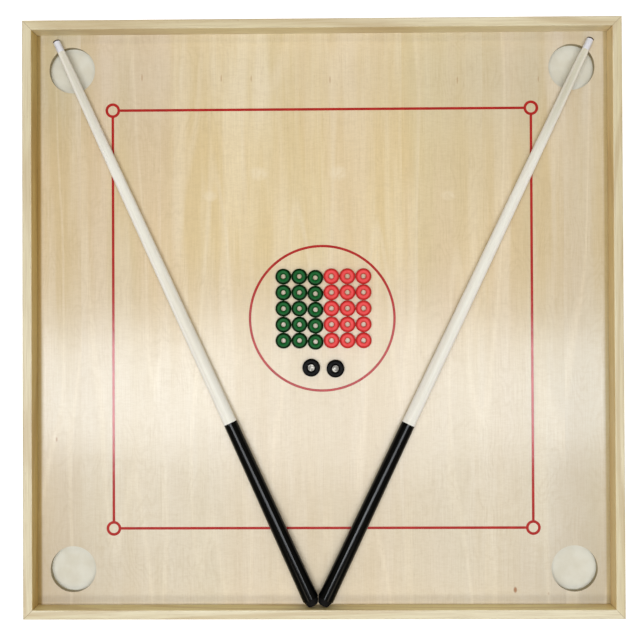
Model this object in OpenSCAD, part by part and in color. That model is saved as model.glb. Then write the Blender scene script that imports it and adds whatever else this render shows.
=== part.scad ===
// Bob board: a framed playing board with four corner pockets, thirty rings,
// two strikers and two cues, set out as it is stored between games.
// Millimetres. X runs to the right, Y to the back rail, Z up.
// The origin is on the table, under the middle of the board.

/* [Frame] */
// Length of each side of the board, outside the rails
board_size = 1000; // [995:5:1200]
// Thickness of a rail, seen from above
rail_width = 16; // [14:1:24]
// Height of the rails above the playing surface
wall_height = 30; // [22:1:50]
// Wood left between the panel groove and the outside of a rail
groove_web = 9; // [8:0.5:10]
// Radius on the upper outside edge of a rail
outer_edge_radius = 2.5; // [0.5:0.5:4]
// Radius on the upper inside edge of a rail
inner_edge_radius = 1.5; // [0.5:0.5:3]
// Radius on the lower edges of a rail
foot_edge_radius = 1; // [0.5:0.5:2]

/* [Mitre splines] */
// Thickness of the spline that keys each mitre
spline_thickness = 3; // [2:0.5:4]
// Width of a spline across the mitre
spline_width = 9; // [6:0.5:9]
// Height of a spline above the table
spline_height = 38; // [20:1:40]
// Wood left between a spline and the panel groove
spline_wall = 1.4; // [1:0.1:2]

/* [Panel] */
// Thickness of the plywood playing panel
panel_thickness = 9; // [8:0.5:12]
// Sideways room left for the panel in its groove
panel_side_room = 0.5; // [0.2:0.1:1]
// Room above the panel in its groove
panel_top_room = 0.1; // [0.05:0.05:0.3]

/* [Pockets] */
// Diameter of a pocket hole
pocket_diameter = 78; // [70:1:88]
// Distance from the inside of the rails to the middle of a pocket
pocket_inset = 60; // [58:1:80]
// Thickness of the block that closes a pocket from below
block_thickness = 9; // [7:0.5:12]
// Depth of the recess in a pocket block
recess_depth = 2.5; // [2:0.5:6]
// How much wider the recess is than the pocket hole, all round
recess_margin = 0.5; // [0:0.5:2]
// Wood around the pocket hole on a pocket block
block_margin = 12; // [10:1:12]
// Radius on the corners of a pocket block
block_corner_radius = 8; // [2:1:12]
// Gap between a pocket block and the table
block_table_gap = 2; // [1:0.5:8]

/* [Pocket screws] */
// Diameter of a pocket screw's shank
screw_diameter = 3.5; // [3:0.1:4]
// Diameter of a pocket screw's head
screw_head_diameter = 7; // [6:0.1:8]
// How deep a pocket screw goes into the panel
screw_bite = 5; // [3:0.5:6]
// Distance from a screw to the sides of its pocket block
screw_edge = 9; // [7:0.5:10]
// Depth of a screw head below the face of its block
screw_sink = 0.3; // [0.1:0.1:0.5]
// Gap around a screw's shank in its block
screw_room = 0.25; // [0.1:0.05:0.4]

/* [Painted lines] */
// Distance from the inside of the rails to the square line
square_inset = 129; // [120:1:160]
// Width of the square line
square_line_width = 4.4; // [3:0.1:8]
// Radius of the small ring at each corner of the square
corner_ring_radius = 10.2; // [8:0.1:14]
// Width of the line of a corner ring
corner_ring_width = 4.6; // [3:0.1:6]
// Radius of the centre circle
circle_radius = 122.5; // [100:0.5:160]
// Width of the centre circle's line
circle_line_width = 4.2; // [3:0.1:8]
// Thickness of the paint
paint_thickness = 0.1; // [0.05:0.05:0.15]

/* [Rings] */
// Outside diameter of a ring
ring_diameter = 26.8; // [24:0.2:30]
// Height of a ring
ring_height = 8.5; // [6:0.5:12]
// Diameter of the hole in a ring
ring_hole = 7.8; // [6:0.2:10]
// Radius on the outside edges of a ring
ring_edge_radius = 3.8; // [1:0.1:4]
// Radius on the edges of the hole in a ring
ring_hole_radius = 3; // [1:0.1:4]
// Radius of the gentle swell on the faces of a ring
ring_face_radius = 12; // [10:1:60]
// Gap between neighbouring rings
ring_gap = 0.3; // [0.2:0.1:2]
// Middle of the block of rings, to the right of the board's middle
block_x = 2.2; // [-10:0.1:10]
// Middle of the block of rings, behind the board's middle
block_y = 16.5; // [-10:0.5:20]
// How far forward the third column of rings has slipped
slipped_column = 2.2; // [0:0.1:4]

/* [Strikers] */
// Diameter of a striker
striker_diameter = 30; // [28:0.5:34]
// Height of a striker
striker_height = 10; // [8:0.5:14]
// Radius on the edges of a striker
striker_edge_radius = 3; // [1:0.1:3.4]
// Radius of the gentle swell on the faces of a striker
striker_face_radius = 16; // [14:1:60]
// Diameter of the metal core in a striker
core_diameter = 11.5; // [8:0.5:14]
// Depth of the core's face below the face of the striker
core_sink = 1.5; // [1:0.1:2]
// Bevel on the edge of the core
core_bevel = 0.6; // [0.3:0.1:1]
// Depth of the dish in the core's face
core_dish = 0.5; // [0.2:0.1:0.8]
// Gap between the block of rings and the strikers
striker_gap = 16.1; // [5:0.1:40]
// Distance between the middles of the two strikers
striker_spacing = 40.8; // [36:0.1:60]
// How much further forward the right striker lies
striker_stagger = 1.7; // [0:0.1:5]
// How far the strikers lie to the left of the middle of the block of rings
striker_shift = 0.6; // [-5:0.1:5]

/* [Cues] */
// Length of the left cue from the bumper to the tip
cue_length = 1047; // [900:0.5:1050]
// How much longer the right cue is
right_cue_extra = 7.5; // [0:0.5:8]
// Diameter of a cue where the shaft meets the grip sleeve
shaft_diameter = 22.9; // [21:0.1:24]
// Diameter of the grip sleeve at the butt
butt_diameter = 27.4; // [26:0.1:28]
// Diameter of the ferrule at the tip
tip_diameter = 12; // [10:0.5:13]
// Fullness of the bare shaft: 1 is a straight taper, less is a fuller one
shaft_fullness = 0.5; // [0.4:0.05:1]
// Length of the ferrule
ferrule_length = 19; // [15:1:30]
// Diameter of the tenon that carries the ferrule
tenon_diameter = 8; // [6:0.5:8]
// Length of that tenon
tenon_length = 14; // [8:1:14]
// Height of the domed leather tip
leather_height = 4; // [2:0.5:5]
// Length of the grip sleeve
sleeve_length = 324; // [250:2:400]
// Wall of the grip sleeve
sleeve_wall = 1.2; // [1.1:0.1:1.8]
// Radius on the butt edge of the sleeve
sleeve_edge_radius = 1; // [0.2:0.1:1.1]
// Length of the rubber bumper
bumper_length = 11; // [8:0.5:14]
// Diameter of the rubber bumper at its free end
bumper_diameter = 17.6; // [16:0.2:20]
// Radius on the free edge of the bumper
bumper_edge_radius = 2.5; // [1:0.5:4]
// Depth of the hollow that hides the bumper's screw head
bumper_hollow = 2.5; // [1:0.5:3]
// Length of the bumper's screw under its head
bumper_screw_length = 22; // [16:1:30]
// Angle of the left cue to the Y axis, seen from above
left_cue_lean = 24.4; // [24:0.1:26]
// Angle of the right cue to the Y axis, seen from above
right_cue_lean = 25.6; // [24.6:0.1:26.6]
// Where the butts meet, to the right of the board's middle
butts_x = -8.7; // [-12:0.1:2]
// Gap between the two butts
butts_gap = 0.3; // [0.3:0.1:4]
// Gap between the bumpers and the front rail
bumper_wall_gap = 0.5; // [0.3:0.1:4]

/* [Resting] */
// Gap under the rings and strikers
piece_gap = 0.2; // [0.2:0.05:0.5]
// Gap under the cues
cue_gap = 0.3; // [0.25:0.05:0.5]

/* [Hidden] */
$fn = 96;
// A little extra on a cutter, so that it passes right through
over = 1;

board_half = board_size / 2;
inner_half = board_half - rail_width;
panel_bottom = block_table_gap + block_thickness;
panel_top = panel_bottom + panel_thickness;
rail_height = panel_top + wall_height;
groove_depth = rail_width - groove_web;
groove_height = panel_thickness + panel_top_room;
panel_half = board_half - groove_web - panel_side_room;
// Middle of a spline, inwards from the two outside faces of its corner
spline_inset = groove_web - spline_wall - spline_thickness / (2 * sqrt(2));
// Room above a spline in its slot
spline_top_room = 0.5;

pocket_place = inner_half - pocket_inset;
block_half = pocket_diameter / 2 + block_margin;
screw_place = block_half - screw_edge;
screw_point = 2;
// The cross in a screw head: width, depth, and length as a share of the head
slot_width = 0.8;
slot_depth = 0.9;
slot_share = 0.6;

square_half = inner_half - square_inset;

columns = 6;
rows = 5;
ring_pitch = ring_diameter + ring_gap;
slipped_index = 2;
piece_base = panel_top + piece_gap;
// Least flat left between two rounded edges of a turned piece
least_land = 0.3;
rings_front = block_y - (rows * ring_pitch - ring_gap) / 2 - slipped_column;
striker_y = rings_front - striker_gap - striker_diameter / 2 + striker_stagger / 2;
striker_x = block_x - striker_shift;

// Places along a cue are measured from the free end of its bumper
sleeve_front = bumper_length + sleeve_length;
sleeve_front_radius = shaft_diameter / 2;
sleeve_butt_radius = butt_diameter / 2;
// The wood inside the sleeve is thinner by the wall, so that sleeve and shaft are flush
front_wood_radius = sleeve_front_radius - sleeve_wall;
butt_wood_radius = sleeve_butt_radius - sleeve_wall;
// The ferrule is a little wider at the wood than at the tip
ferrule_taper = 0.3;
shoulder_diameter = tip_diameter + ferrule_taper;
// Straight stretches that make up the curve of the bare shaft
shaft_steps = 8;
bumper_screw_head = screw_head_diameter;
bumper_screw_point = 3;
// The bumper widens to where the rounded edge of the sleeve begins
bumper_wide_radius = sleeve_butt_radius - sleeve_edge_radius;
bumper_flare = atan((bumper_wide_radius - bumper_diameter / 2) / bumper_length);
// Radius of the flat end of the bumper, inside its rounded edge
bumper_flat_radius = bumper_diameter / 2
    - bumper_edge_radius * (1 - sin(bumper_flare)) / cos(bumper_flare);

sides = ["front", "right", "back", "left"];
corners = ["front_left", "front_right", "back_right", "back_left"];
ring_numbers = [1 : columns / 2 * rows];

function two_digits(n) = n < 10 ? str("0", n) : str(n);
function ring_node(colour, n) = str(colour, "_ring_", two_digits(n));
function rail_node(side) = str(sides[side], "_rail");
function block_node(corner) = str("pocket_block_", corners[corner]);
function cue_node(hand, piece) = str(hand, "_cue_", piece);

function length_of_cue(hand) = hand == "left" ? cue_length : cue_length + right_cue_extra;
function lean_of_cue(hand) = hand == "left" ? left_cue_lean : right_cue_lean;
function ferrule_end(hand) = length_of_cue(hand) - leather_height;
function shaft_end(hand) = ferrule_end(hand) - ferrule_length;
// The bare shaft from the sleeve to the ferrule, as points [radius, place]:
// equal steps in radius, closer together towards the ferrule
function bare_shaft(hand) = [
    for (i = [shaft_steps : -1 : 0]) [
        shoulder_diameter / 2 + (sleeve_front_radius - shoulder_diameter / 2) * i / shaft_steps,
        shaft_end(hand)
            - (shaft_end(hand) - sleeve_front) * pow(i / shaft_steps, 1 / shaft_fullness)
    ]
];
// A cue rests on the butt edge of its sleeve and on the first place further up that meets
// the panel: the one with the least fall from the butt for its distance
function cue_slope(hand) = min([
    for (point = concat(bare_shaft(hand), [[tip_diameter / 2, ferrule_end(hand)]]))
        (sleeve_butt_radius - point[0]) / (point[1] - bumper_length)
]);

cue_pieces = ["shaft", "ferrule", "tip", "sleeve", "bumper", "screw"];
hands = ["left", "right"];

// Shapes shared by several pieces

// What a rounded corner takes off a square one: the corner is at the origin, the material
// lies towards +X and +Y
module corner_waste(radius) {
    difference() {
        translate([-over, -over]) square(radius + over);
        translate([radius, radius]) circle(radius);
    }
}

// A rectangle from the origin with its own radius on each corner,
// from the lower left one anticlockwise
module soft_rectangle(width, height, radii) {
    difference() {
        square([width, height]);
        corner_waste(radii[0]);
        translate([width, 0]) mirror([1, 0]) corner_waste(radii[1]);
        translate([width, height]) rotate(180) corner_waste(radii[2]);
        translate([0, height]) mirror([0, 1]) corner_waste(radii[3]);
    }
}

// Places its children at the four corners of a square, turned to face each corner
module at_corners(distance) {
    for (corner = [0:3]) at_corner(corner, distance) children();
}

module at_corner(corner, distance) {
    rotate(corner * 90) translate([-distance, -distance, 0]) children();
}

// A countersunk screw on the Z axis, head face at the origin, pointing up
module countersunk_screw(diameter, head_diameter, length, point) {
    radius = diameter / 2;
    head_radius = head_diameter / 2;
    head_height = head_radius - radius;
    difference() {
        union() {
            cylinder(h = head_height, r1 = head_radius, r2 = radius);
            cylinder(h = length - point, r = radius);
            translate([0, 0, length - point]) cylinder(h = point, r1 = radius, r2 = radius / 4);
        }
        for (turn = [0, 90])
            rotate(turn)
                translate([-head_radius * slot_share, -slot_width / 2, -over])
                    cube([head_diameter * slot_share, slot_width, slot_depth + over]);
    }
}

// The hole that such a screw sits in: an exact seat for the head, and room round the shank
module screw_hole(diameter, head_diameter, length, room, sink) {
    radius = diameter / 2;
    head_radius = head_diameter / 2;
    translate([0, 0, -sink - over]) cylinder(h = sink + over, r = head_radius);
    cylinder(h = head_radius - radius, r1 = head_radius, r2 = radius);
    cylinder(h = length, r = radius + room);
}

// Frame

module rail_section() {
    difference() {
        soft_rectangle(rail_width, rail_height,
            [foot_edge_radius, foot_edge_radius, inner_edge_radius, outer_edge_radius]);
        translate([rail_width - groove_depth, panel_bottom])
            square([groove_depth + over, groove_height]);
    }
}

module spline_slot_shape(height) {
    rotate(-45)
        translate([-spline_width / 2, -spline_thickness / 2, 0])
            cube([spline_width, spline_thickness, height]);
}

// The four rails are alike: a grooved section along the side, cut off at 45 degrees
module rail(side) {
    color("burlywood")
        rotate(side * 90)
            difference() {
                intersection() {
                    translate([-board_half, -board_half, 0])
                        rotate([90, 0, 90])
                            linear_extrude(board_size) rail_section();
                    linear_extrude(rail_height)
                        polygon([
                            [-board_half, -board_half],
                            [board_half, -board_half],
                            [inner_half, -inner_half],
                            [-inner_half, -inner_half]
                        ]);
                }
                for (end = [0, 1])
                    at_corner(end, board_half - spline_inset)
                        translate([0, 0, -over])
                            spline_slot_shape(spline_height + spline_top_room + over);
            }
}

module mitre_splines() {
    color("peru")
        at_corners(board_half - spline_inset) spline_slot_shape(spline_height);
}

// Playing panel and its pockets

module playing_panel() {
    color("wheat")
        translate([0, 0, panel_bottom])
            difference() {
                translate([-panel_half, -panel_half, 0])
                    cube([2 * panel_half, 2 * panel_half, panel_thickness]);
                at_corners(pocket_place) {
                    translate([0, 0, -over])
                        cylinder(h = panel_thickness + 2 * over, d = pocket_diameter);
                    at_corners(screw_place)
                        translate([0, 0, -over]) cylinder(h = screw_bite + over, d = screw_diameter);
                }
            }
}

module pocket_block(corner) {
    color("lemonchiffon")
        at_corner(corner, pocket_place)
            translate([0, 0, block_table_gap])
                difference() {
                    translate([-block_half, -block_half, 0])
                        linear_extrude(block_thickness)
                            soft_rectangle(2 * block_half, 2 * block_half,
                                [for (i = [0:3]) block_corner_radius]);
                    translate([0, 0, block_thickness - recess_depth])
                        cylinder(h = recess_depth + over, d = pocket_diameter + 2 * recess_margin);
                    at_corners(screw_place)
                        translate([0, 0, screw_sink])
                            screw_hole(screw_diameter, screw_head_diameter,
                                block_thickness + over, screw_room, screw_sink);
                }
}

module pocket_screws() {
    color("silver")
        translate([0, 0, block_table_gap + screw_sink])
            at_corners(pocket_place)
                at_corners(screw_place)
                    countersunk_screw(screw_diameter, screw_head_diameter,
                        block_thickness - screw_sink + screw_bite, screw_point);
}

// Painted lines

module square_line() {
    color("crimson")
        translate([0, 0, panel_top])
            linear_extrude(paint_thickness)
                difference() {
                    union() {
                        difference() {
                            square(2 * square_half + square_line_width, center = true);
                            square(2 * square_half - square_line_width, center = true);
                        }
                        at_corners(square_half)
                            circle(corner_ring_radius + corner_ring_width / 2);
                    }
                    at_corners(square_half)
                        circle(corner_ring_radius - corner_ring_width / 2);
                }
}

module circle_line() {
    color("crimson")
        translate([0, 0, panel_top])
            linear_extrude(paint_thickness)
                difference() {
                    circle(circle_radius + circle_line_width / 2);
                    circle(circle_radius - circle_line_width / 2);
                }
}

// Rings and strikers

// Half the cut through a turned piece: soft edges, and faces that swell a little
module turned_section(inner_radius, outer_radius, height, hole_edge, outside_edge, face_radius) {
    middle = (inner_radius + outer_radius) / 2;
    most = (height - least_land) / 2;
    hole_round = min(hole_edge, most);
    outside_round = min(outside_edge, most);
    intersection() {
        translate([inner_radius, 0])
            soft_rectangle(outer_radius - inner_radius, height,
                [hole_round, outside_round, outside_round, hole_round]);
        translate([middle, height - face_radius]) circle(face_radius);
        translate([middle, face_radius]) circle(face_radius);
    }
}

module ring() {
    rotate_extrude()
        turned_section(ring_hole / 2, ring_diameter / 2, ring_height,
            ring_hole_radius, ring_edge_radius, ring_face_radius);
}

// Puts a ring in its place: columns from the left, rows from the back
module ring_in_place(column, row) {
    slip = column == slipped_index ? slipped_column : 0;
    translate([
        block_x + (column - (columns - 1) / 2) * ring_pitch,
        block_y - (row - (rows - 1) / 2) * ring_pitch - slip,
        piece_base
    ])
        ring();
}

module green_ring(n) {
    color("darkgreen") ring_in_place(floor((n - 1) / rows), (n - 1) % rows);
}

module red_ring(n) {
    color("tomato") ring_in_place(columns / 2 + floor((n - 1) / rows), (n - 1) % rows);
}

module at_striker(hand) {
    way = hand == "left" ? -1 : 1;
    translate([
        striker_x + way * striker_spacing / 2,
        striker_y - (way + 1) / 2 * striker_stagger,
        piece_base
    ])
        children();
}

module striker(hand) {
    color("black")
        at_striker(hand)
            rotate_extrude()
                turned_section(core_diameter / 2, striker_diameter / 2, striker_height,
                    striker_edge_radius, striker_edge_radius, striker_face_radius);
}

// A turned slug pressed into the striker, dished on both faces
module striker_core(hand) {
    height = striker_height - 2 * core_sink;
    radius = core_diameter / 2;
    dish_radius = radius - core_bevel * 2;
    color("silver")
        at_striker(hand)
            translate([0, 0, core_sink])
                difference() {
                    union() {
                        cylinder(h = core_bevel, r1 = radius - core_bevel, r2 = radius);
                        translate([0, 0, core_bevel])
                            cylinder(h = height - 2 * core_bevel, r = radius);
                        translate([0, 0, height - core_bevel])
                            cylinder(h = core_bevel, r1 = radius, r2 = radius - core_bevel);
                    }
                    translate([0, 0, height - core_dish])
                        cylinder(h = core_dish, r1 = dish_radius - core_dish, r2 = dish_radius);
                    cylinder(h = core_dish, r1 = dish_radius, r2 = dish_radius - core_dish);
                }
}

// Cues: each piece is turned about the Z axis, with the free end of the bumper at the origin

module lay_cue(hand) {
    way = hand == "left" ? 1 : -1;
    lean = lean_of_cue(hand);
    tilt = atan(cue_slope(hand));
    axis_height = bumper_length * sin(tilt) + sleeve_butt_radius * cos(tilt);
    // The rounded end of the bumper lies nearest to the front rail
    end_reach = bumper_flat_radius * sin(lean) + bumper_edge_radius * (1 - cos(lean));
    // The sleeve's edge or the bumper's end comes nearest to the other cue
    half_apart = butts_gap / 2 + max(
        bumper_flat_radius * cos(lean) + bumper_edge_radius * (1 - sin(lean)),
        sleeve_butt_radius * cos(lean) - bumper_length * sin(lean)
    );
    translate([
        butts_x - way * half_apart,
        -inner_half + bumper_wall_gap + end_reach,
        panel_top + cue_gap + axis_height
    ])
        rotate([0, 0, way * lean])
            rotate([-90 - tilt, 0, 0])
                children();
}

// The wood: a straight taper under the sleeve, a full curve from there to the ferrule,
// then the tenon that carries the ferrule
module cue_shaft(hand) {
    end = shaft_end(hand);
    difference() {
        rotate_extrude()
            polygon(concat(
                [
                    [0, bumper_length],
                    [butt_wood_radius, bumper_length],
                    [front_wood_radius, sleeve_front]
                ],
                bare_shaft(hand),
                [
                    [tenon_diameter / 2, end],
                    [tenon_diameter / 2, end + tenon_length],
                    [0, end + tenon_length]
                ]
            ));
        translate([0, 0, bumper_hollow])
            cylinder(h = bumper_screw_length, d = screw_diameter);
    }
}

module cue_ferrule(hand) {
    start = shaft_end(hand);
    rotate_extrude()
        difference() {
            polygon([
                [0, start],
                [shoulder_diameter / 2, start],
                [tip_diameter / 2, ferrule_end(hand)],
                [0, ferrule_end(hand)]
            ]);
            translate([0, start - over])
                square([tenon_diameter / 2, tenon_length + over]);
        }
}

module cue_tip(hand) {
    radius = tip_diameter / 2;
    rim = leather_height / 2;
    dome = leather_height - rim;
    dome_radius = (radius * radius + dome * dome) / (2 * dome);
    translate([0, 0, ferrule_end(hand)])
        intersection() {
            cylinder(h = leather_height, r = radius);
            translate([0, 0, leather_height - dome_radius]) sphere(dome_radius);
        }
}

module cue_sleeve() {
    rotate_extrude()
        difference() {
            polygon([
                [butt_wood_radius, bumper_length],
                [sleeve_butt_radius, bumper_length],
                [sleeve_front_radius, sleeve_front],
                [front_wood_radius, sleeve_front]
            ]);
            translate([sleeve_butt_radius, bumper_length])
                mirror([1, 0]) corner_waste(sleeve_edge_radius);
        }
}

// A rubber cap that narrows from the sleeve to a flat end with a rounded edge
module cue_bumper() {
    difference() {
        rotate_extrude() {
            polygon([
                [0, 0],
                [bumper_flat_radius, 0],
                [
                    bumper_flat_radius + bumper_edge_radius * cos(bumper_flare),
                    bumper_edge_radius * (1 - sin(bumper_flare))
                ],
                [bumper_wide_radius, bumper_length],
                [0, bumper_length]
            ]);
            translate([bumper_flat_radius, bumper_edge_radius]) circle(bumper_edge_radius);
        }
        translate([0, 0, bumper_hollow])
            screw_hole(screw_diameter, bumper_screw_head, bumper_length + over, 0, bumper_hollow);
    }
}

module cue_screw() {
    translate([0, 0, bumper_hollow])
        countersunk_screw(screw_diameter, bumper_screw_head, bumper_screw_length,
            bumper_screw_point);
}

module cue(hand, piece) {
    lay_cue(hand) {
        if (piece == "shaft") color("ivory") cue_shaft(hand);
        if (piece == "ferrule") color("white") cue_ferrule(hand);
        if (piece == "tip") color("saddlebrown") cue_tip(hand);
        if (piece == "sleeve") color("black") cue_sleeve();
        if (piece == "bumper") color("dimgray") cue_bumper();
        if (piece == "screw") color("silver") cue_screw();
    }
}

// What is drawn

playing_panel();
for (side = [0:3])
    rail(side);
mitre_splines();
for (corner = [0:3])
    pocket_block(corner);
pocket_screws();
square_line();
circle_line();
for (n = ring_numbers) {
    green_ring(n);
    red_ring(n);
}
for (hand = hands) {
    striker(hand);
    striker_core(hand);
    for (piece = cue_pieces)
        cue(hand, piece);
}
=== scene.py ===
"""Looks of the bob board: camera, light, floor and a node material for every piece.

Metres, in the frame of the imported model: X to the right, Y to the back rail, Z up.
"""
import math

import bpy
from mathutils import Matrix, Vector

# Camera, as found from the corners of the frame and of the red square in the photograph
IMAGE_SIDE = 640
FOCAL_PIXELS = 861.1
SENSOR_WIDTH = 36.0
CAMERA_PLACE = (0.0113, -0.0130, 1.480)
CAMERA_TURN = (0.392, 0.592, -0.253)

# Light: a far strip of three cool soft boxes over the board, and warm fill from low boxes and the sky.
# Each box has its place, size, target, power in watts and tint
COOL = (0.965, 1.0, 1.06)
WARM = (1.10, 0.97, 0.76)
LAMPS = {
    "left": ((-1.975, -0.58, 6.00), (1.95, 1.05), (-1.975, -0.58, 0.0), 114.0, COOL),
    "middle": ((0.0, -0.60, 6.00), (2.00, 1.50), (0.0, -0.60, 0.0), 100.0, COOL),
    "right": ((1.975, -0.58, 6.00), (1.95, 1.05), (1.975, -0.58, 0.0), 80.0, COOL),
    "front": ((0.0, -1.55, 1.90), (2.4, 0.30), (0.0, 0.0, 0.0), 7.0, WARM),
    "back": ((0.0, 1.40, 1.90), (2.4, 0.30), (0.0, 0.0, 0.0), 5.5, WARM),
}
SKY_ZENITH = 0.25
SKY_HORIZON = 0.08
SKY_RISE = 0.8
WHITE = (1, 1, 1, 1)

FLOOR_SIDE = 12.0
FLOOR_DROP = 0.0004
FLOOR_COLOUR = (0.84, 0.84, 0.84, 1)
FLOOR_GLOW = 0.42
# Far from the board the floor shows the camera plain white
FAR_GLOW = 1.0
FAR_FROM = 0.95
FAR_TO = 2.4

# The part of a noise field's range that is used where a value wanders with it
FIELD_RANGE = (0.2, 0.8)


def colour(red, green, blue):
    """The linear colour of an sRGB colour given in 0 to 255."""
    def linear(value):
        share = value / 255
        return share / 12.92 if share <= 0.04045 else ((share + 0.055) / 1.055) ** 2.4
    return (linear(red), linear(green), linear(blue), 1)


class Nodes:
    """A node tree under construction."""

    def __init__(self, tree):
        self.tree = tree
        self.tree.nodes.clear()

    def add(self, kind, inputs=None, **settings):
        """A new node, with settings as its properties and inputs as values or sockets."""
        node = self.tree.nodes.new("ShaderNode" + kind)
        for key, value in settings.items():
            setattr(node, key, value)
        for key, value in (inputs or {}).items():
            self.feed(node.inputs[key], value)
        return node

    def feed(self, socket, value):
        if isinstance(value, bpy.types.NodeSocket):
            self.tree.links.new(value, socket)
        else:
            socket.default_value = value

    def math(self, operation, a, b=0.0, c=0.0):
        return self.add("Math", {0: a, 1: b, 2: c}, operation=operation).outputs[0]

    def axis(self, vector, name):
        return self.add("SeparateXYZ", {0: vector}).outputs[name]

    def between(self, value, low, high, out_low=0.0, out_high=1.0):
        """value, carried from the range low to high to another range, smoothly and clamped."""
        inputs = {"Value": value, "From Min": low, "From Max": high}
        inputs |= {"To Min": out_low, "To Max": out_high}
        return self.add("MapRange", inputs, interpolation_type="SMOOTHSTEP").outputs["Result"]


class Look(Nodes):
    """A node material under construction, ending in one Principled shader."""

    def __init__(self, name):
        self.material = bpy.data.materials.new(name)
        self.material.use_nodes = True
        super().__init__(self.material.node_tree)
        self.shader = self.add("BsdfPrincipled")
        self.add("OutputMaterial", {"Surface": self.shader.outputs["BSDF"]})
        self.place = self.add("TexCoord").outputs["Object"]

    def set(self, **values):
        """Feeds the shader's sockets; an underscore in a name stands for a space."""
        for key, value in values.items():
            self.feed(self.shader.inputs[key.replace("_", " ")], value)

    def mix(self, share, a, b, blend="MIX"):
        node = self.add("Mix", data_type="RGBA", blend_type=blend)
        for index, value in ((0, share), (6, a), (7, b)):
            self.feed(node.inputs[index], value)
        return node.outputs[2]

    def mapped(self, stretch, turn=0.0, shift=(0, 0, 0)):
        """The place on the object, turned about Z by an angle in degrees and then stretched."""
        inputs = {"Vector": self.place, "Angle": math.radians(turn)}
        turned = self.add("VectorRotate", inputs, rotation_type="Z_AXIS").outputs[0]
        inputs = {"Vector": turned, "Scale": stretch, "Location": shift}
        return self.add("Mapping", inputs).outputs[0]

    def noise(self, vector, scale=1.0, detail=2.0, roughness=0.5, distortion=0.0):
        inputs = {"Vector": vector, "Scale": scale, "Detail": detail}
        inputs |= {"Roughness": roughness, "Distortion": distortion}
        return self.add("TexNoise", inputs).outputs["Fac"]

    def even(self, scale, **settings):
        """Noise of one scale in every direction."""
        return self.noise(self.place, scale, **settings)

    def wander(self, field, low, high):
        """A value that wanders from low to high with a noise field."""
        return self.between(field, *FIELD_RANGE, low, high)

    def bump(self, height, strength, distance):
        inputs = {"Height": height, "Strength": strength, "Distance": distance}
        return self.add("Bump", inputs).outputs["Normal"]


def add_layers(look, fields, layers):
    """Lays colours over the base in turn: field, its range, the most share, and the colour."""
    for name, low, high, share, tint in layers:
        look.base = look.mix(look.between(fields[name], low, high, 0.0, share), look.base, tint)


def add_tones(look, tones):
    """Multiplies the base by each tone, where all the ranges it names have come in."""
    x = look.axis(look.place, "X")
    ways = {
        "left": look.math("MULTIPLY", x, -1.0),
        "right": x,
        "aside": look.math("ABSOLUTE", x),
        "along": look.axis(look.place, "Y"),
    }
    for ranges, tone in tones.values():
        shares = [look.between(ways[way], low, high) for way, (low, high) in ranges.items()]
        share = shares[0] if len(shares) == 1 else look.math("MULTIPLY", *shares)
        look.base = look.mix(share, look.base, tone, "MULTIPLY")


# Solid wood: how far each pattern is stretched across, along and through the grain
WARP_STRETCH = (5, 1.2, 5)
WARP_REACH = 2.2
BAND_STRETCH = (24.0, 0.9, 24.0)
TONE_STRETCH = (9, 0.35, 9)
FLOW_STRETCH = (7, 0.55, 7)
FIBRE_STRETCH = (950, 16, 950)
PORE_STRETCH = (1300, 75, 1300)
GRAIN_LINES = 95.0
LINE_SHARE = 0.16
FIBRE_SHARE = 0.22
PORE_SHARE = 0.35
LINE_TINT = colour(176, 150, 106)
FIBRE_TINT = colour(168, 143, 103)
PORE_TINT = colour(140, 112, 74)


def wood(name, tints, turn=0.0, shift=(0, 0, 0), figure=1.0, fibre=1.0):
    """Lacquered pale wood with its grain along Y, or along another way after a turn about Z."""
    look = Look(name)

    def grain(stretch, **settings):
        return look.noise(look.mapped(stretch, turn, shift), **settings)

    warp = look.math("MULTIPLY", grain(WARP_STRETCH, detail=1.0), WARP_REACH)
    nudge = look.add("CombineXYZ", {"X": warp}).outputs[0]
    bent = look.add("VectorMath", {0: look.mapped(BAND_STRETCH, turn, shift), 1: nudge}).outputs[0]
    flow = grain(FLOW_STRETCH, detail=1.5, roughness=0.4)
    fields = {
        "bands": look.noise(bent, detail=4.0, roughness=0.62),
        "tone": grain(TONE_STRETCH, detail=2.0),
        "lines": look.math("SINE", look.math("MULTIPLY", flow, GRAIN_LINES)),
        "fibres": grain(FIBRE_STRETCH, detail=3.0, roughness=0.6),
        "pores": grain(PORE_STRETCH, detail=1.0),
    }
    look.fibres = fields["fibres"]
    look.base, warm, rosy = tints
    add_layers(look, fields, (
        ("bands", 0.32, 0.68, 1.0, warm),
        ("tone", 0.42, 0.66, 0.75, rosy),
        ("lines", 0.2, 1.0, LINE_SHARE * figure, LINE_TINT),
        ("fibres", 0.35, 0.75, FIBRE_SHARE * fibre, FIBRE_TINT),
        ("pores", 0.70, 0.80, PORE_SHARE * fibre, PORE_TINT),
    ))
    return look


# Clear coats: the scale and depth of the ripple in them
COAT_RIPPLE_SCALE = 55.0
COAT_RIPPLE_DEPTH = 0.0015


def coat_ripple(look, strength):
    ripples = look.even(COAT_RIPPLE_SCALE, detail=2.0)
    return look.bump(ripples, strength, COAT_RIPPLE_DEPTH)


def lacquer(look, roughness, coat, coat_roughness, ripple):
    """Finishes a wood look: base colour, a little fibre relief, and a rippled clear coat."""
    look.set(
        Base_Color=look.base,
        Roughness=look.between(look.fibres, 0.3, 0.8, roughness - 0.04, roughness + 0.06),
        Normal=look.bump(look.fibres, 0.12, 0.0002),
        Coat_Weight=coat,
        Coat_Roughness=coat_roughness,
        Coat_Normal=coat_ripple(look, ripple),
    )
    return look.material


# Veneer of the panel, in leaves of one width
LEAF_WIDTH = 0.1365
LEAF_SLIP = 0.017
LEAF_DEPTH = 0.012

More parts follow.
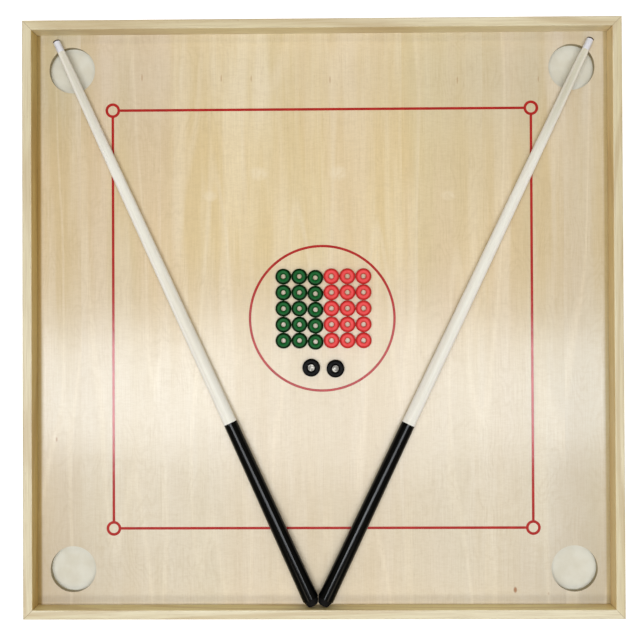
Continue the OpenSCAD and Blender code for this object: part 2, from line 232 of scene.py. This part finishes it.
# Noise fields of the veneer: whether the field repeats in every leaf or runs over the whole board, its
# stretch across and along the grain, its shift, and its settings
VENEER_NOISE = {
    "bands": ("leaf", 34, 2.2, (0, 0, 0), {"detail": 3.0, "roughness": 0.5, "distortion": 0.12}),
    "broad": ("board", 9, 0.8, (4, 2, 0), {"detail": 2.0}),
    "blush": ("board", 13, 1.2, (9, 5, 0), {"detail": 2.0}),
    "flow": ("leaf", 13, 1.4, (2, 7, 0), {"detail": 1.0, "roughness": 0.3}),
    "nest": ("leaf", 20, 6, (5, 8, 0), {"detail": 2.0, "roughness": 0.4, "distortion": 0.2}),
    "curl": ("leaf", 120, 60, (1, 3, 0), {"detail": 2.0, "distortion": 1.2}),
    "ripple": ("board", 60, 210, (6, 2, 0), {"detail": 2.0, "distortion": 1.6}),
    "fibres": ("board", 700, 13, (0, 0, 0), {"detail": 3.0, "roughness": 0.6}),
    "flecks": ("board", 480, 70, (3, 1, 0), {"detail": 2.0, "distortion": 0.6}),
    "patches": ("leaf", 14, 16, (8, 1, 0), {"detail": 2.0}),
}
PALE = colour(223, 207, 178)
STREAK = colour(232, 220, 196)

# Broad colours over the palest one: field, its range, the most share and the colour.
# The last one pales the veneer from the middle of the board to the front rail: partly the veneer's own
# paler tone there, partly painted glare from the lamps
GROUND_LAYERS = (
    ("bands", 0.34, 0.64, 1.0, colour(212, 191, 150)),
    ("broad", 0.40, 0.68, 0.70, colour(206, 192, 158)),
    ("blush", 0.46, 0.70, 0.50, colour(215, 195, 168)),
    # Partly painted glare: paler and greyer towards the front rail
    ("along", 0.14, -0.16, 0.62, colour(217, 208, 191)),
)
FINE_LAYERS = (
    ("streak", 0.030, 0.0, 0.30, STREAK),
    ("fibres", 0.30, 0.75, 0.20, colour(172, 148, 108)),
    ("flecks", 0.58, 0.78, 0.14, colour(156, 130, 90)),
    ("ripple", 0.35, 0.70, 0.14, colour(178, 158, 120)),
)

# Painted light and shade over parts of the board, darker towards its edges and front corners and
# lighter in the middle of the back: the ranges over which each comes in, and the tone
UNDER_PAINTED_LIGHT_AND_SHADE = {
    "left edge": ({"left": (0.28, 0.48)}, (0.915, 0.92, 0.92, 1)),
    "right edge": ({"right": (0.28, 0.48)}, (0.89, 0.93, 0.97, 1)),
    "back edge": ({"along": (0.27, 0.42)}, (0.97, 1.00, 1.08, 1)),
    "front corners": ({"aside": (0.15, 0.42), "along": (-0.32, -0.46)}, (0.91, 0.90, 0.90, 1)),
    "outer front": ({"aside": (0.37, 0.45), "along": (-0.14, -0.28)}, (0.93, 0.89, 0.84, 1)),
    "middle of the back": ({"aside": (0.34, 0.14), "along": (0.02, 0.14)}, (1.05, 1.055, 0.98, 1)),
}
# Painted light on the fields to either side and painted shade at the far left, over the fine grain
OVER_PAINTED_LIGHT_AND_SHADE = {
    "side fields": ({"aside": (0.08, 0.22), "along": (0.06, -0.10)}, (1.02, 1.055, 1.10, 1)),
    "far left": ({"left": (0.36, 0.46), "along": (0.24, 0.40)}, (0.91, 0.93, 0.91, 1)),
}

# Painted shade at the foot of the rails; at the front rail a wide painted shadow, then a thin painted
# reflection of the rail
FOOT_PAINTED_SHADE_AND_REFLECTION = {
    "front painted shadow": ({"along": (-0.466, -0.4735)}, (0.92, 0.91, 0.90, 1)),
    "front painted reflection": ({"along": (-0.4780, -0.4815)}, (1.13, 1.12, 1.10, 1)),
    "left foot painted shade": ({"left": (0.4755, 0.4800)}, (0.62, 0.50, 0.24, 1)),
    "right foot painted shade": ({"right": (0.4755, 0.4800)}, (0.80, 0.73, 0.52, 1)),
}

# Nested curled lines in patches of the left and right fields
NEST_LINES = 105.0
NEST_ASIDE = (0.10, 0.20)
NEST_PATCHES = (0.44, 0.60)
NEST_RANGE = (-0.2, 1.0)
NEST_SHARE = 0.10
NEST_TINT = colour(170, 148, 108)

# Small knots and dark marks in the panel: place, half width, half length, depth of colour
KNOTS = (
    (0.324, -0.460, 0.0030, 0.0050, 0.80),
    (0.380, -0.466, 0.0016, 0.0030, 0.25),
    (-0.305, 0.411, 0.0012, 0.0065, 0.40),
    (-0.170, 0.409, 0.0012, 0.0065, 0.40),
    (-0.119, 0.408, 0.0012, 0.0060, 0.36),
    (0.015, 0.405, 0.0012, 0.0065, 0.38),
    (0.231, 0.403, 0.0012, 0.0065, 0.38),
    (0.368, 0.404, 0.0012, 0.0050, 0.35),
    (-0.452, -0.204, 0.0016, 0.0040, 0.45),
)
KNOT_COLOUR = colour(146, 88, 40)

# Pale curls in the veneer: place, half width, half length, depth of colour
CURLS = (
    (-0.107, 0.246, 0.0150, 0.0110, 0.45),
    (0.028, 0.246, 0.0150, 0.0120, 0.45),
    (-0.190, 0.208, 0.0120, 0.0090, 0.35),
    (0.215, 0.207, 0.0120, 0.0080, 0.35),
)
# A spot fades from its full depth to nothing over this range of the squared distance
SPOT_RANGE = (1.6, 0.1)

PLY_PITCH = 0.0030
PLY_PALE = colour(178, 164, 124)
PLY_DARK = colour(120, 102, 66)


def leaf_place(look):
    """The place inside a leaf of the veneer: each leaf repeats its neighbour, slipped a little."""
    x = look.axis(look.place, "X")
    leaf = look.math("FLOOR", look.math("DIVIDE", x, LEAF_WIDTH))
    inside = look.math("SUBTRACT", x, look.math("MULTIPLY", leaf, LEAF_WIDTH))
    slip = look.math("MULTIPLY", leaf, LEAF_SLIP)
    slipped = look.math("ADD", look.axis(look.place, "Y"), slip)
    depth = look.math("MULTIPLY", leaf, LEAF_DEPTH)
    return look.add("CombineXYZ", {"X": inside, "Y": slipped, "Z": depth}).outputs[0]


def veneer_fields(look):
    """The noise fields of the veneer, with the streaks and nested lines that are made from them."""
    sources = {"leaf": leaf_place(look), "board": look.place}
    fields = {"along": look.axis(look.place, "Y")}
    for name, (source, across, along, shift, settings) in VENEER_NOISE.items():
        inputs = {"Vector": sources[source], "Scale": (across, along, across), "Location": shift}
        fields[name] = look.noise(look.add("Mapping", inputs).outputs[0], **settings)
    fields["streak"] = look.math("ABSOLUTE", look.math("SUBTRACT", fields["flow"], 0.5))
    fields["nested"] = look.math("SINE", look.math("MULTIPLY", fields["nest"], NEST_LINES))
    return fields


def add_nested_lines(look, fields):
    aside = look.math("ABSOLUTE", look.axis(look.place, "X"))
    outside = look.between(aside, *NEST_ASIDE)
    patches = look.between(fields["patches"], *NEST_PATCHES)
    lines = look.between(fields["nested"], *NEST_RANGE, 0.0, NEST_SHARE)
    share = look.math("MULTIPLY", lines, look.math("MULTIPLY", outside, patches))
    look.base = look.mix(share, look.base, NEST_TINT)


def add_spots(look, spots, tint, share=1.0):
    """Soft oval spots of one colour, each at its own place and strength."""
    x = look.axis(look.place, "X")
    y = look.axis(look.place, "Y")
    for spot_x, spot_y, half_width, half_length, depth in spots:
        across = look.math("DIVIDE", look.math("SUBTRACT", x, spot_x), half_width)
        along = look.math("DIVIDE", look.math("SUBTRACT", y, spot_y), half_length)
        along_squared = look.math("MULTIPLY", along, along)
        squared = look.math("ADD", look.math("MULTIPLY", across, across), along_squared)
        spot = look.between(squared, *SPOT_RANGE, 0.0, depth)
        look.base = look.mix(look.math("MULTIPLY", spot, share), look.base, tint)


def add_plies(look):
    """Shows the plies on the cut edges of the plywood, in the pockets and at its rim."""
    normal = look.add("NewGeometry").outputs["Normal"]
    upright = look.math("ABSOLUTE", look.axis(normal, "Z"))
    height = look.axis(look.place, "Z")
    layer = look.math("SINE", look.math("MULTIPLY", height, 2 * math.pi / PLY_PITCH))
    plies = look.mix(look.between(layer, -0.4, 0.4), PLY_PALE, PLY_DARK)
    look.base = look.mix(look.between(upright, 0.3, 0.7), plies, look.base)


def panel_look():
    look = Look("panel_lacquered_ply")
    fields = veneer_fields(look)
    look.fibres = fields["fibres"]
    look.base = PALE
    add_layers(look, fields, GROUND_LAYERS)
    # Painted light and shade by place, under the fine grain
    add_tones(look, UNDER_PAINTED_LIGHT_AND_SHADE)
    add_layers(look, fields, FINE_LAYERS)
    add_nested_lines(look, fields)
    # More painted light and shade by place, over the fine grain
    add_tones(look, OVER_PAINTED_LIGHT_AND_SHADE)
    add_spots(look, CURLS, STREAK, look.between(fields["curl"], 0.30, 0.60, 0.25, 1.0))
    add_spots(look, KNOTS, KNOT_COLOUR)
    # Painted shadow and painted reflection on the panel at the foot of the rails
    add_tones(look, FOOT_PAINTED_SHADE_AND_REFLECTION)
    add_plies(look)
    look.set(Specular_IOR_Level=0.2)
    return lacquer(look, roughness=0.46, coat=0.31, coat_roughness=0.15, ripple=0.09)


MITRE_HALF_WIDTH = 0.00022
GLUE_SHARE = 0.8
GLUE_COLOUR = colour(104, 74, 42)
RAIL_TINTS = (colour(224, 217, 190), colour(207, 195, 157), colour(212, 202, 170))
# Each rail in turn takes its wood this much further along the pattern
RAIL_SHIFT = (0.37, 1.3)

# Painted light and shade on the faces that look at the playing area, lighter or darker for each side
WALL_PAINTED_LIGHT_AND_SHADE = {
    "front": (1.50, 1.48, 1.18, 1),
    "right": (1.36, 1.20, 0.92, 1),
    "back": (1.32, 1.32, 1.30, 1),
    "left": (1.09, 0.92, 0.51, 1),
}


def add_wall_light_and_shade(look, tone):
    """Paints light and shade on the face that looks at the playing area: upright, with its normal
    towards the middle.
    """
    normal = look.add("NewGeometry").outputs["Normal"]
    inputs = {0: look.place, 1: normal}
    outward = look.add("VectorMath", inputs, operation="DOT_PRODUCT").outputs["Value"]
    level = look.math("ABSOLUTE", look.axis(normal, "Z"))
    upright = look.between(level, 0.35, 0.85, 1.0, 0.0)
    inner = look.math("MULTIPLY", look.math("LESS_THAN", outward, 0.0), upright)
    look.base = look.mix(inner, look.base, tone, "MULTIPLY")


def rail_look(side, index):
    """Solid wood with its grain along the rail and a thin glue line in each mitre."""
    turn = 90 if side in ("front", "back") else 0
    shift = (RAIL_SHIFT[0] * index, RAIL_SHIFT[1] * index, 0)
    look = wood("rail_wood_" + side, RAIL_TINTS, turn, shift, figure=2.2, fibre=1.9)
    across = look.math("ABSOLUTE", look.axis(look.place, "X"))
    along = look.math("ABSOLUTE", look.axis(look.place, "Y"))
    from_mitre = look.math("ABSOLUTE", look.math("SUBTRACT", across, along))
    glue = look.between(from_mitre, MITRE_HALF_WIDTH * 2, MITRE_HALF_WIDTH, 0.0, GLUE_SHARE)
    look.base = look.mix(glue, look.base, GLUE_COLOUR)
    # Painted light and shade on the inner faces, one tone for each side
    add_wall_light_and_shade(look, WALL_PAINTED_LIGHT_AND_SHADE[side])
    return lacquer(look, roughness=0.5, coat=0.12, coat_roughness=0.25, ripple=0.06)


def spline_look():
    look = wood("spline_ply", (PLY_PALE, colour(176, 148, 104), PLY_PALE))
    return lacquer(look, roughness=0.7, coat=0.0, coat_roughness=0.4, ripple=0.0)


def pocket_look():
    """Cream painted board: flat, with a faint brush and a little dust."""
    look = Look("pocket_cream_paint")
    cloud = look.even(38.0, detail=3.0)
    speck = look.even(900.0)
    tint = look.mix(look.between(cloud, 0.3, 0.7), colour(210, 209, 197), colour(202, 199, 184))
    dust = look.between(speck, 0.62, 0.8, 0.0, 0.25)
    look.set(
        Base_Color=look.mix(dust, tint, colour(182, 178, 158)),
        Roughness=look.wander(cloud, 0.58, 0.72),
        Normal=look.bump(speck, 0.15, 0.0002),
    )
    return look.material


def paint_look(name, coat):
    """Red print under the lacquer, a little uneven at close range."""
    look = Look(name)
    grain = look.noise(look.mapped((700, 30, 700)), detail=3.0)
    cloud = look.even(60.0)
    tint = look.mix(look.between(cloud, 0.3, 0.7), colour(172, 29, 24), colour(160, 22, 18))
    thin = look.between(grain, 0.55, 0.8, 0.0, 0.3)
    look.set(
        Base_Color=look.mix(thin, tint, colour(182, 48, 40)),
        Roughness=look.wander(grain, 0.42, 0.5),
        Normal=look.bump(grain, 0.08, 0.0001),
        Specular_IOR_Level=0.1,
        Coat_Weight=coat,
        Coat_Roughness=0.13,
        Coat_Normal=coat_ripple(look, 0.08),
    )
    return look.material


# The block of rings: its first ring, the pitch, and the column that lies further forward
FIRST_RING = (-0.06555, -0.0377)
RING_PITCH = 0.0271
SLIPPED_COLUMN = 2
COLUMN_SLIP = 0.0022
# Distances from the middle of a ring over which the painted shade on the slopes to its rim and to its
# hole comes in
RIM_SHADE_RANGE = (0.0088, 0.0108)
BORE_SHADE_RANGE = (0.0070, 0.0052)

# Colours of the rings: the lacquer on the face, then painted shade on the slope to the rim and on the
# slope to the hole; the rim colour also gives the random mottle and specks
RING_TINTS_AND_SHADE = {
    "green": (colour(10, 96, 40), colour(1, 36, 6), colour(20, 82, 36)),
    "red": (colour(230, 80, 82), colour(196, 45, 43), colour(208, 76, 68)),
}


def from_ring_middle(look):
    """The distance from the middle of the ring that a point belongs to, seen from above."""
    across = look.math("SUBTRACT", look.axis(look.place, "X"), FIRST_RING[0])
    column = look.math("ROUND", look.math("DIVIDE", across, RING_PITCH))
    slipped = look.math("COMPARE", column, SLIPPED_COLUMN, 0.5)
    along = look.math("SUBTRACT", look.axis(look.place, "Y"), FIRST_RING[1])
    along = look.math("MULTIPLY_ADD", slipped, COLUMN_SLIP, along)
    row = look.math("ROUND", look.math("DIVIDE", along, RING_PITCH))
    aside = look.math("SUBTRACT", across, look.math("MULTIPLY", column, RING_PITCH))
    ahead = look.math("SUBTRACT", along, look.math("MULTIPLY", row, RING_PITCH))
    squared = look.math("MULTIPLY_ADD", aside, aside, look.math("MULTIPLY", ahead, ahead))
    return look.math("SQRT", squared)


def ring_look(tone):
    """Lacquer on turned wood, with painted shade on the slopes to the rim and to the hole."""
    body, rim, bore_shade = RING_TINTS_AND_SHADE[tone]
    look = Look(f"ring_{tone}_lacquer")
    cloud = look.even(150.0, detail=3.0)
    speck = look.even(1600.0)
    radius = from_ring_middle(look)
    # Painted shade: darker towards the rim and towards the hole, by the distance from the ring's
    # middle
    tint = look.mix(look.between(radius, *RIM_SHADE_RANGE), body, rim)
    tint = look.mix(look.between(radius, *BORE_SHADE_RANGE), tint, bore_shade)
    tint = look.mix(look.between(cloud, 0.35, 0.75, 0.0, 0.25), tint, rim)
    look.set(
        Base_Color=look.mix(look.between(speck, 0.66, 0.8, 0.0, 0.3), tint, rim),
        Roughness=look.wander(cloud, 0.30, 0.42),
        Normal=look.bump(cloud, 0.08, 0.0003),
        Specular_IOR_Level=0.06,
    )
    return look.material


def striker_look():
    look = Look("striker_black_gloss")
    cloud = look.even(220.0, detail=4.0)
    scuff = look.noise(look.mapped((900, 120, 600), 30), detail=3.0)
    normal = look.add("NewGeometry").outputs["Normal"]
    level = look.math("ABSOLUTE", look.axis(normal, "Z"))
    worn = look.between(scuff, 0.62, 0.8, 0.0, 0.5)
    look.set(
        Base_Color=look.mix(worn, colour(2, 2, 2), colour(10, 10, 9)),
        Roughness=look.wander(cloud, 0.30, 0.42),
        Normal=look.bump(cloud, 0.06, 0.0003),
        Specular_IOR_Level=look.between(level, 0.84, 0.995, 0.0, 0.045),
    )
    return look.material


def core_look():
    """The core of a striker: dull cast metal with pale, less metallic patches of painted highlight
    that stand in for its bright reflections.
    """
    look = Look("striker_core_metal")
    worn = look.even(170.0, distortion=0.8)
    fine = look.even(900.0, detail=3.0)
    # Painted highlight: pale patches where the core would show bright reflections
    bright = look.between(worn, 0.40, 0.62)
    look.set(
        Base_Color=look.mix(bright, colour(112, 110, 104), colour(226, 224, 216)),
        Metallic=look.between(worn, 0.40, 0.62, 0.3, 0.0),
        Roughness=look.wander(fine, 0.42, 0.60),
        Normal=look.bump(fine, 0.3, 0.0002),
    )
    return look.material


ZINC = colour(205, 205, 206)
ZINC_DULLED = 0.8


def zinc_look():
    """Plated steel of the screws, with fine lines and a slight mottle."""
    look = Look("screw_zinc")
    lines = look.noise(look.mapped((400, 2600, 2600), 20), detail=3.0)
    cloud = look.even(260.0, detail=3.0)
    dull = tuple(share * ZINC_DULLED for share in ZINC[:3]) + (1,)
    look.set(
        Base_Color=look.mix(look.between(cloud, 0.3, 0.75), ZINC, dull),
        Metallic=1.0,
        Roughness=look.between(lines, 0.25, 0.75, 0.26, 0.44),
        Normal=look.bump(lines, 0.15, 0.0001),
    )
    return look.material


# Cues: how far each leans from Y in degrees, and the wood, deeper and warmer towards the tip
CUE_LEAN = {"left": -24.4, "right": 25.6}
CUE_TINTS = (colour(233, 234, 227), colour(226, 225, 213), colour(230, 230, 221))
CUE_SHIFT = (0.3, 0.1, 0)
TIP_TONES = {"left": (0.80, 0.78, 0.73, 1), "right": (0.71, 0.69, 0.60, 1)}
TIP_TONE_RANGE = (0.22, 0.40)
# Painted sheen: the flanks of a shaft, seen at a slant, are made paler
FLANK_PAINTED_SHEEN = colour(212, 210, 202)
FLANK_SHEEN_RANGE = (0.02, 0.40)


def cue_wood_look(hand):
    """Pale turned wood with its grain along the cue."""
    look = wood("cue_wood_" + hand, CUE_TINTS, CUE_LEAN[hand], CUE_SHIFT, figure=0.5, fibre=0.5)
    towards_tip = look.between(look.axis(look.place, "Y"), *TIP_TONE_RANGE)
    look.base = look.mix(towards_tip, look.base, TIP_TONES[hand], "MULTIPLY")
    # Painted sheen that pales the flanks seen at a slant
    facing = look.add("LayerWeight", {"Blend": 0.5}).outputs["Facing"]
    flank_sheen = look.between(facing, *FLANK_SHEEN_RANGE)
    look.base = look.mix(flank_sheen, look.base, FLANK_PAINTED_SHEEN, "SCREEN")
    look.set(Specular_IOR_Level=0.25)
    return lacquer(look, roughness=0.45, coat=0.05, coat_roughness=0.20, ripple=0.03)


def ferrule_look():
    look = Look("ferrule_white")
    cloud = look.even(240.0, detail=3.0)
    mottle = look.between(cloud, 0.3, 0.7)
    look.set(
        Base_Color=look.mix(mottle, colour(219, 221, 229), colour(210, 212, 221)),
        Roughness=look.wander(cloud, 0.26, 0.36),
        Normal=look.bump(cloud, 0.04, 0.0002),
        Subsurface_Weight=0.1,
        Subsurface_Radius=(0.002, 0.002, 0.002),
    )
    return look.material


def leather_look():
    look = Look("tip_leather")
    fine = look.even(2200.0, detail=4.0, roughness=0.65)
    chalk = look.even(700.0, detail=3.0)
    brown = look.mix(look.between(fine, 0.3, 0.7), colour(62, 45, 36), colour(42, 30, 24))
    chalked = look.between(chalk, 0.6, 0.8, 0.0, 0.4)
    look.set(
        Base_Color=look.mix(chalked, brown, colour(84, 72, 64)),
        Roughness=look.wander(fine, 0.75, 0.9),
        Normal=look.bump(fine, 0.5, 0.0003),
    )
    return look.material


def sleeve_look():
    """Smooth black sleeve, shrunk on: glossy, with the faintest ripple along its length."""
    look = Look("sleeve_black_gloss")
    ripple = look.even(90.0)
    fine = look.even(1300.0, detail=3.0)
    worn = look.between(fine, 0.55, 0.8, 0.0, 0.6)
    look.set(
        Base_Color=look.mix(worn, colour(4, 5, 5), colour(10, 11, 12)),
        Roughness=look.wander(fine, 0.11, 0.16),
        Normal=look.bump(ripple, 0.06, 0.0006),
        Specular_IOR_Level=0.15,
    )
    return look.material


def rubber_look():
    look = Look("bumper_rubber")
    fine = look.even(1500.0, detail=4.0, roughness=0.6)
    worn = look.between(fine, 0.4, 0.8)
    look.set(
        Base_Color=look.mix(worn, colour(12, 12, 13), colour(26, 27, 28)),
        Roughness=look.wander(fine, 0.55, 0.75),
        Normal=look.bump(fine, 0.3, 0.0002),
        Specular_IOR_Level=0.12,
    )
    return look.material


RING_COUNT = 15
HANDS = ("left", "right")
SIDES = ("front", "right", "back", "left")
CORNERS = ("front_left", "front_right", "back_right", "back_left")
SQUARE_COAT = 0.56
CIRCLE_COAT = 0.22


def board_looks(zinc):
    looks = {"playing_panel": panel_look(), "mitre_splines": spline_look(), "pocket_screws": zinc}
    for index, side in enumerate(SIDES):
        looks[side + "_rail"] = rail_look(side, index)
    cream = pocket_look()
    for corner in CORNERS:
        looks["pocket_block_" + corner] = cream
    looks["square_line"] = paint_look("square_print", SQUARE_COAT)
    looks["circle_line"] = paint_look("circle_print", CIRCLE_COAT)
    return looks


def playing_piece_looks():
    looks = {}
    for tone in RING_TINTS_AND_SHADE:
        lacquered = ring_look(tone)
        for number in range(1, RING_COUNT + 1):
            looks[f"{tone}_ring_{number:02d}"] = lacquered
    black = striker_look()
    core = core_look()
    for hand in HANDS:
        looks[hand + "_striker"] = black
        looks[hand + "_striker_core"] = core
    return looks


def cue_looks(zinc):
    shared = {
        "ferrule": ferrule_look(),
        "tip": leather_look(),
        "sleeve": sleeve_look(),
        "bumper": rubber_look(),
        "screw": zinc,
    }
    looks = {}
    for hand in HANDS:
        looks[hand + "_cue_shaft"] = cue_wood_look(hand)
        for piece, material in shared.items():
            looks[f"{hand}_cue_{piece}"] = material
    return looks


def dress(nodes):
    """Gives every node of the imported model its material."""
    zinc = zinc_look()
    looks = board_looks(zinc) | playing_piece_looks() | cue_looks(zinc)
    for name, node in nodes.items():
        node.data.materials.clear()
        node.data.materials.append(looks[name])


def make_camera():
    data = bpy.data.cameras.new("camera")
    data.sensor_width = SENSOR_WIDTH
    data.lens = SENSOR_WIDTH * FOCAL_PIXELS / IMAGE_SIDE
    camera = bpy.data.objects.new("camera", data)
    camera.location = CAMERA_PLACE
    camera.rotation_euler = [math.radians(angle) for angle in CAMERA_TURN]
    bpy.context.scene.collection.objects.link(camera)
    bpy.context.scene.camera = camera


def make_lamp(name, place, size, target, power, tint):
    data = bpy.data.lights.new("soft_box_" + name, "AREA")
    data.shape = "RECTANGLE"
    data.size, data.size_y = size
    data.energy = power
    data.color = tint
    lamp = bpy.data.objects.new(data.name, data)
    lamp.location = place
    lamp.rotation_euler = (Vector(target) - lamp.location).to_track_quat("-Z", "Y").to_euler()
    bpy.context.scene.collection.objects.link(lamp)


def make_sky():
    """Soft light from above, dimmer at the horizon; the camera sees plain white."""
    world = bpy.data.worlds.new("sky")
    bpy.context.scene.world = world
    world.use_nodes = True
    nodes = Nodes(world.node_tree)
    height = nodes.axis(nodes.add("TexCoord").outputs["Generated"], "Z")
    strength = nodes.between(height, 0.0, SKY_RISE, SKY_HORIZON, SKY_ZENITH)
    light = nodes.add("Background", {"Color": (*WARM, 1), "Strength": strength}).outputs[0]
    seen = nodes.add("Background", {"Color": WHITE}).outputs[0]
    to_camera = nodes.add("LightPath").outputs["Is Camera Ray"]
    sky = nodes.add("MixShader", {0: to_camera, 1: light, 2: seen}).outputs[0]
    nodes.add("OutputWorld", {0: sky})


def floor_look():
    """Pale and matt; white to the camera and to gloss, and clear when seen from below."""
    material = bpy.data.materials.new("floor_pale")
    material.use_nodes = True
    nodes = Nodes(material.node_tree)
    place = nodes.add("TexCoord").outputs["Object"]
    distance = nodes.add("VectorMath", {0: place}, operation="LENGTH").outputs["Value"]
    far = nodes.between(distance, FAR_FROM, FAR_TO, FLOOR_GLOW, FAR_GLOW)
    rays = nodes.add("LightPath").outputs
    seen = nodes.math("MULTIPLY", rays["Is Camera Ray"], far)
    strength = nodes.math("MULTIPLY_ADD", rays["Is Glossy Ray"], FLOOR_GLOW, seen)
    glow = nodes.add("Emission", {"Strength": strength}).outputs[0]
    plain = nodes.add("BsdfDiffuse", {"Color": FLOOR_COLOUR}).outputs[0]
    above = nodes.add("AddShader", {0: plain, 1: glow}).outputs[0]
    clear = nodes.add("BsdfTransparent").outputs[0]
    from_below = nodes.add("NewGeometry").outputs["Backfacing"]
    surface = nodes.add("MixShader", {0: from_below, 1: above, 2: clear}).outputs[0]
    nodes.add("OutputMaterial", {"Surface": surface})
    return material


def make_floor():
    """A pale floor that keeps the board's soft shadow."""
    bpy.ops.mesh.primitive_plane_add(size=FLOOR_SIDE, location=(0, 0, -FLOOR_DROP))
    floor = bpy.context.object
    floor.name = "floor"
    floor.data.materials.append(floor_look())


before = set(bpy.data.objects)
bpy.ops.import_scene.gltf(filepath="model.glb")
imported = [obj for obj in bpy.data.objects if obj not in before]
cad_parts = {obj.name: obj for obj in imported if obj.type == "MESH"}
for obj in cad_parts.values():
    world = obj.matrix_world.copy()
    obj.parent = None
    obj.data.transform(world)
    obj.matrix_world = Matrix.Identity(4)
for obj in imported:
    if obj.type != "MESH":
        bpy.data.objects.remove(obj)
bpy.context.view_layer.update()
bpy.context.scene.view_settings.view_transform = "Standard"
make_camera()
for name, settings in LAMPS.items():
    make_lamp(name, *settings)
make_sky()
make_floor()
dress(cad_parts)
